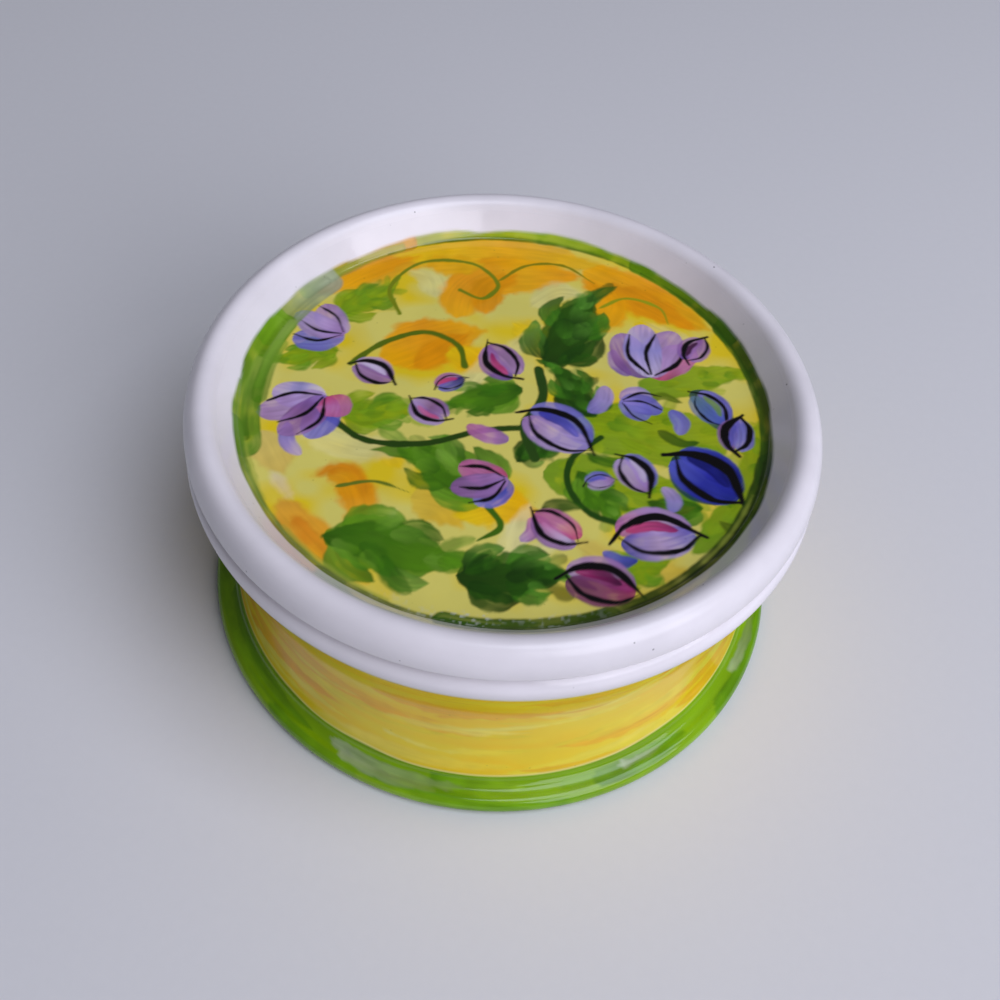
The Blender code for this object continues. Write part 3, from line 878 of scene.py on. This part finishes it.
def paint_base(piece, sizes, finish):
    """Paints the base: streaky yellow wall, green foot, and the white glaze of its rim and inside."""
    points = points_of(piece)
    radius, height = np.hypot(points[:, 0], points[:, 1]), points[:, 2]
    girth = math.tau * sizes.waist_radius / MM
    around = (np.arctan2(points[:, 1], points[:, 0]) % math.tau) / math.tau * girth
    foot_top = sizes.foot_thickness / MM + 0.8
    band_low = (sizes.height - sizes.band) / MM
    # The flat top of the foot is unrolled below the wall, so that its strokes run on over its edge.
    past_wall = np.clip(radius - sizes.waist_radius / MM - FLARE, 0, None)
    unrolled = height - 0.8 * past_wall * (height < foot_top + 0.6)
    paint = Paint(around, unrolled, finish.wall_yellow)
    cloud = mottle(around / 11, unrolled / 2.2, 15) * 0.7 + mottle(around / 4, unrolled / 0.9, 14) * 0.3
    paint.cover(srgb("#F0DA26"), np.clip((cloud - 0.45) * 2.2, 0, 0.8))
    random = np.random.RandomState(17)
    streak_wall(paint, girth, band_low, random)
    # A pale cream line painted in the cove just above the green, standing partly for thicker glaze there and partly for
    # a painted highlight where the cove catches light; then the green of the foot.
    foot = foot_top + 0.5 + 0.3 * (mottle(around / 5, around * 0, 18) - 0.5)
    paint.cover(srgb("#F8F2A4"), np.clip((foot + 0.45 - unrolled) / 0.3, 0, 1) * 0.75)
    green = np.array(finish.foot_green) * (0.86 + 0.3 * mottle(around / 3, unrolled / 0.8 + 9, 19))[:, None]
    paint.cover(green, np.clip((foot - unrolled) / 0.2 + 0.5, 0, 1))
    brush_foot(paint, girth, random)
    # White glaze over the rim, inside the cup and underneath.
    edge = band_low + 0.24 * (mottle(around / 4, around * 0, 20) - 0.5)
    levels = np.linspace(foot_top, sizes.height / MM, 40)
    outer = np.interp(height, levels, [wall_radius(sizes, level) for level in levels])
    inside = (height > foot_top + 0.7) & (radius < outer - 1.0)
    hollow = (radius < 27.5) & (height < 1.5)
    white = np.where(inside | hollow | (height < FLAT), 1, np.clip((unrolled - edge) / 0.16 + 0.5, 0, 1))
    paint.cover(np.array(finish.white), white)
    paint.onto(piece)


# ---------------------------------------------------------------- materials


def node(tree, kind, inputs=None, **settings):
    """Adds one node, with its settings, and its inputs set or linked."""
    made = tree.nodes.new(kind)
    for name, value in settings.items():
        setattr(made, name, value)
    for socket, value in (inputs or {}).items():
        if isinstance(value, bpy.types.NodeSocket):
            tree.links.new(value, made.inputs[socket])
        else:
            made.inputs[socket].default_value = value
    return made


def new_material(name):
    """An empty node material and its node tree."""
    material = bpy.data.materials.new(name)
    material.use_nodes = True
    material.node_tree.nodes.clear()
    return material, material.node_tree


def glazed_earthenware(name, roughness, painted=True, tones=()):
    """Slip-cast white earthenware, painted by hand under a clear glaze and fired glossy.

    The eye gets soft body colour under a hard, wet-looking gloss, a very slight ripple in the reflections,
    a few iron specks, and a tone that drifts a little where the glaze lies thicker.
    """
    material, tree = new_material(name)
    place = node(tree, "ShaderNodeTexCoord").outputs["Object"]
    # The glaze's thickness drifts over about 6 mm.
    drift = node(tree, "ShaderNodeTexNoise", {"Vector": place, "Scale": 170.0, "Detail": 3.0}).outputs["Fac"]
    if painted:
        colour = node(tree, "ShaderNodeAttribute", attribute_name="paint").outputs["Color"]
    else:
        blend = node(tree, "ShaderNodeMix", {"Factor": drift}, data_type="RGBA")
        blend.inputs[6].default_value = (*tones[0], 1)
        blend.inputs[7].default_value = (*tones[1], 1)
        colour = blend.outputs[2]
    tones_range = {"Value": drift, "From Min": 0.3, "From Max": 0.7, "To Min": 0.95, "To Max": 1.02}
    tone = node(tree, "ShaderNodeMapRange", tones_range).outputs["Result"]
    # Iron specks about 0.2 mm across, some 5 mm apart, faint where the paint covers them.
    speck = node(tree, "ShaderNodeTexVoronoi", {"Vector": place, "Scale": 480.0}).outputs["Distance"]
    specks_range = {"Value": speck, "From Min": 0.04, "From Max": 0.07, "To Min": 0.85 if painted else 0.45}
    dark = node(tree, "ShaderNodeMapRange", specks_range).outputs["Result"]
    shade = node(tree, "ShaderNodeMath", {0: tone, 1: dark}, operation="MULTIPLY").outputs[0]
    toned = node(tree, "ShaderNodeVectorMath", {0: colour, "Scale": shade}, operation="SCALE").outputs[0]
    # Ripple of the fired glaze, about 4 mm from crest to crest, over a fine orange peel of 0.7 mm.
    ripple = node(tree, "ShaderNodeTexNoise", {"Vector": place, "Scale": 250.0, "Detail": 1.0}).outputs["Fac"]
    peel = node(tree, "ShaderNodeTexNoise", {"Vector": place, "Scale": 1400.0, "Detail": 1.0}).outputs["Fac"]
    relief = node(tree, "ShaderNodeMath", {0: peel, 1: 0.12, 2: ripple}, operation="MULTIPLY_ADD").outputs[0]
    bump = node(tree, "ShaderNodeBump", {"Height": relief, "Strength": 1.0, "Distance": 0.02 * MM}).outputs["Normal"]
    shader = node(
        tree,
        "ShaderNodeBsdfPrincipled",
        {
            "Base Color": toned,
            "Roughness": 0.42,
            "IOR": 1.5,
            "Specular IOR Level": 0.08,
            "Coat Weight": 0.75 if painted else 1.0,
            "Coat Roughness": roughness,
            "Coat IOR": 1.5,
            "Normal": bump,
            "Coat Normal": bump,
        },
    )
    node(tree, "ShaderNodeOutputMaterial", {"Surface": shader.outputs["BSDF"]})
    return material


def bisque_clay(name, clay):
    """Unglazed fired clay, wiped clean so that it doesn't stick to the kiln shelf.

    The eye gets a dry, matt, fine-grained surface, a little grubby.
    """
    material, tree = new_material(name)
    place = node(tree, "ShaderNodeTexCoord").outputs["Object"]
    # Stains of about 3 mm.
    stain = node(tree, "ShaderNodeTexNoise", {"Vector": place, "Scale": 300.0, "Detail": 4.0}).outputs["Fac"]
    blend = node(tree, "ShaderNodeMix", {"Factor": stain}, data_type="RGBA")
    blend.inputs[6].default_value = (*[part * 0.72 for part in clay], 1)
    blend.inputs[7].default_value = (*clay, 1)
    # Grit of about 0.25 mm.
    grit = node(tree, "ShaderNodeTexNoise", {"Vector": place, "Scale": 4000.0, "Detail": 2.0}).outputs["Fac"]
    bump = node(tree, "ShaderNodeBump", {"Height": grit, "Strength": 0.6, "Distance": 0.03 * MM}).outputs["Normal"]
    shader = node(
        tree, "ShaderNodeBsdfPrincipled", {"Base Color": blend.outputs[2], "Roughness": 0.85, "Normal": bump}
    )
    node(tree, "ShaderNodeOutputMaterial", {"Surface": shader.outputs["BSDF"]})
    return material


def studio_paper(name, tint):
    """Pale backdrop paper off a roll: the eye gets an even matt floor with a faint fibre."""
    material, tree = new_material(name)
    place = node(tree, "ShaderNodeTexCoord").outputs["Object"]
    # Fibres of about 1 mm.
    fibre = node(tree, "ShaderNodeTexNoise", {"Vector": place, "Scale": 900.0, "Detail": 3.0}).outputs["Fac"]
    blend = node(tree, "ShaderNodeMix", {"Factor": fibre}, data_type="RGBA")
    blend.inputs[6].default_value = (*[part * 0.97 for part in tint], 1)
    blend.inputs[7].default_value = (*tint, 1)
    shader = node(tree, "ShaderNodeBsdfPrincipled", {"Base Color": blend.outputs[2], "Roughness": 0.9})
    node(tree, "ShaderNodeOutputMaterial", {"Surface": shader.outputs["BSDF"]})
    return material


# ---------------------------------------------------------------- operators

BASE_STEPS, LID_STEPS = 448, 384  # steps round each turned piece
PLAIN_GLAZE_ROUGHER = 2.8  # the lid's plain white glaze against the painted one

# The camera's place and the point it looks at, in millimetres, and its tilt in degrees.
CAMERA_PLACE, CAMERA_TARGET, CAMERA_TILT = (0, -77.3, 107.9), (0.24, -11.65, 25.7), 5.21
LIGHT_TARGET = (0, 0, 0.02)


class PILLBOX_OT_base(bpy.types.Operator):
    """Makes the painted base with its flared foot"""

    bl_idname = "pillbox.base"
    bl_label = "Base"

    def execute(self, context):
        sizes, finish = context.scene.pill_box_base, context.scene.pill_box_finish
        piece = turned("painted_base", base_outline(sizes), BASE_STEPS)
        paint_base(piece, sizes, finish)
        piece.data.materials.append(glazed_earthenware("painted_glazed_earthenware_base", finish.coat_roughness))
        piece.data.materials.append(bisque_clay("bisque_foot_ring", finish.clay))
        for face in piece.data.polygons:
            if face.center.z < FLAT * MM:
                face.material_index = 1
        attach(piece, "base")
        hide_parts("base")
        return {"FINISHED"}


class PILLBOX_OT_lid(bpy.types.Operator):
    """Makes the lid and its painted panel"""

    bl_idname = "pillbox.lid"
    bl_label = "Lid"

    def execute(self, context):
        sizes, finish = context.scene.pill_box_lid, context.scene.pill_box_finish
        seat = context.scene.pill_box_base.height / MM
        body = turned("glazed_lid", lid_outline(sizes, seat), LID_STEPS)
        tones = (np.array(finish.white) * 0.97, np.array(finish.white) * 1.02)
        roughness = finish.coat_roughness * PLAIN_GLAZE_ROUGHER
        body.data.materials.append(
            glazed_earthenware("white_glazed_earthenware_lid", roughness, painted=False, tones=tones)
        )
        top = lid_top(sizes, seat)
        middle = painted_skin("lid_painting", top, 0, SKIN_JOIN)
        border = painted_skin("lid_painting_border", top, SKIN_JOIN, 1)
        enamel = glazed_earthenware("painted_glazed_earthenware_lid", finish.coat_roughness)
        for panel in (middle, border):
            paint_lid(panel, finish)
            panel.data.materials.append(enamel)
        for piece in (body, middle, border):
            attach(piece, "lid")
            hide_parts("lid")
        return {"FINISHED"}


def soft_light(name, place, size, power, tint):
    """A rectangular soft light at a place in metres, turned to the box."""
    lamp = bpy.data.lights.new(name, "AREA")
    lamp.shape = "RECTANGLE"
    lamp.size, lamp.size_y = size
    lamp.energy = power
    lamp.color = tuple(srgb(tint))
    light = bpy.data.objects.new(name, lamp)
    light.location = place
    light.rotation_euler = (Vector(LIGHT_TARGET) - Vector(place)).to_track_quat("-Z", "Y").to_euler()
    bpy.context.scene.collection.objects.link(light)


class PILLBOX_OT_studio(bpy.types.Operator):
    """Makes the plain floor, the soft lights and the camera"""

    bl_idname = "pillbox.studio"
    bl_label = "Studio"

    def execute(self, context):
        studio = context.scene.pill_box_studio
        bm = bmesh.new()
        bmesh.ops.create_grid(bm, x_segments=1, y_segments=1, size=2)
        bmesh.ops.translate(bm, verts=bm.verts, vec=(0, 0, -0.01 * MM))
        floor = piece_from(bm, "studio_floor")
        floor.data.materials.append(studio_paper("studio_paper", studio.floor))

        soft_light("window", (0.42, -0.42, 0.36), (0.55, 0.4), studio.key_power, "#F4F3FF")
        soft_light("overhead", (0.26, -0.14, 0.66), (0.45, 0.45), studio.fill_power, "#EDEFFF")
        world = bpy.data.worlds.new("room")
        world.use_nodes = True
        background = world.node_tree.nodes["Background"]
        background.inputs["Color"].default_value = (*srgb("#E4E6F4"), 1)
        background.inputs["Strength"].default_value = studio.room
        context.scene.world = world
        context.scene.view_settings.view_transform = "Standard"

        lens = bpy.data.cameras.new("view")
        lens.lens = studio.lens
        lens.clip_start = 0.01
        camera = bpy.data.objects.new("view", lens)
        place, target = Vector(CAMERA_PLACE) * MM, Vector(CAMERA_TARGET) * MM
        look = (target - place).to_track_quat("-Z", "Y").to_matrix()
        tilt = Matrix.Rotation(math.radians(CAMERA_TILT), 3, "Z")
        camera.matrix_world = Matrix.Translation(place) @ (look @ tilt).to_4x4()
        context.scene.collection.objects.link(camera)
        context.scene.camera = camera
        return {"FINISHED"}


class PILLBOX_PT_panel(bpy.types.Panel):
    """Sizes, colours and makers of the pill box"""

    bl_idname = "PILLBOX_PT_panel"
    bl_label = "Painted Pill Box"
    bl_space_type = "VIEW_3D"
    bl_region_type = "UI"
    bl_category = "Pill Box"

    def draw(self, context):
        groups = (
            ("pill_box_base", PillBoxBaseSizes, PILLBOX_OT_base),
            ("pill_box_lid", PillBoxLidSizes, PILLBOX_OT_lid),
            ("pill_box_finish", PillBoxFinish, None),
            ("pill_box_studio", PillBoxStudio, PILLBOX_OT_studio),
        )
        for name, group, maker in groups:
            box = self.layout.box()
            for setting in group.__annotations__:
                box.prop(getattr(context.scene, name), setting)
            if maker:
                box.operator(maker.bl_idname)


CLASSES = (
    PillBoxBaseSizes,
    PillBoxLidSizes,
    PillBoxFinish,
    PillBoxStudio,
    PILLBOX_OT_studio,
    PILLBOX_OT_base,
    PILLBOX_OT_lid,
    PILLBOX_PT_panel,
)


def register():
    for item in CLASSES:
        bpy.utils.register_class(item)
    bpy.types.Scene.pill_box_base = bpy.props.PointerProperty(type=PillBoxBaseSizes)
    bpy.types.Scene.pill_box_lid = bpy.props.PointerProperty(type=PillBoxLidSizes)
    bpy.types.Scene.pill_box_finish = bpy.props.PointerProperty(type=PillBoxFinish)
    bpy.types.Scene.pill_box_studio = bpy.props.PointerProperty(type=PillBoxStudio)


def unregister():
    for name in ("pill_box_base", "pill_box_lid", "pill_box_finish", "pill_box_studio"):
        delattr(bpy.types.Scene, name)
    for item in reversed(CLASSES):
        bpy.utils.unregister_class(item)


def main():
    register()
    bpy.ops.pillbox.studio()
    bpy.ops.pillbox.base()
    bpy.ops.pillbox.lid()


if __name__ == "__main__":
    main()
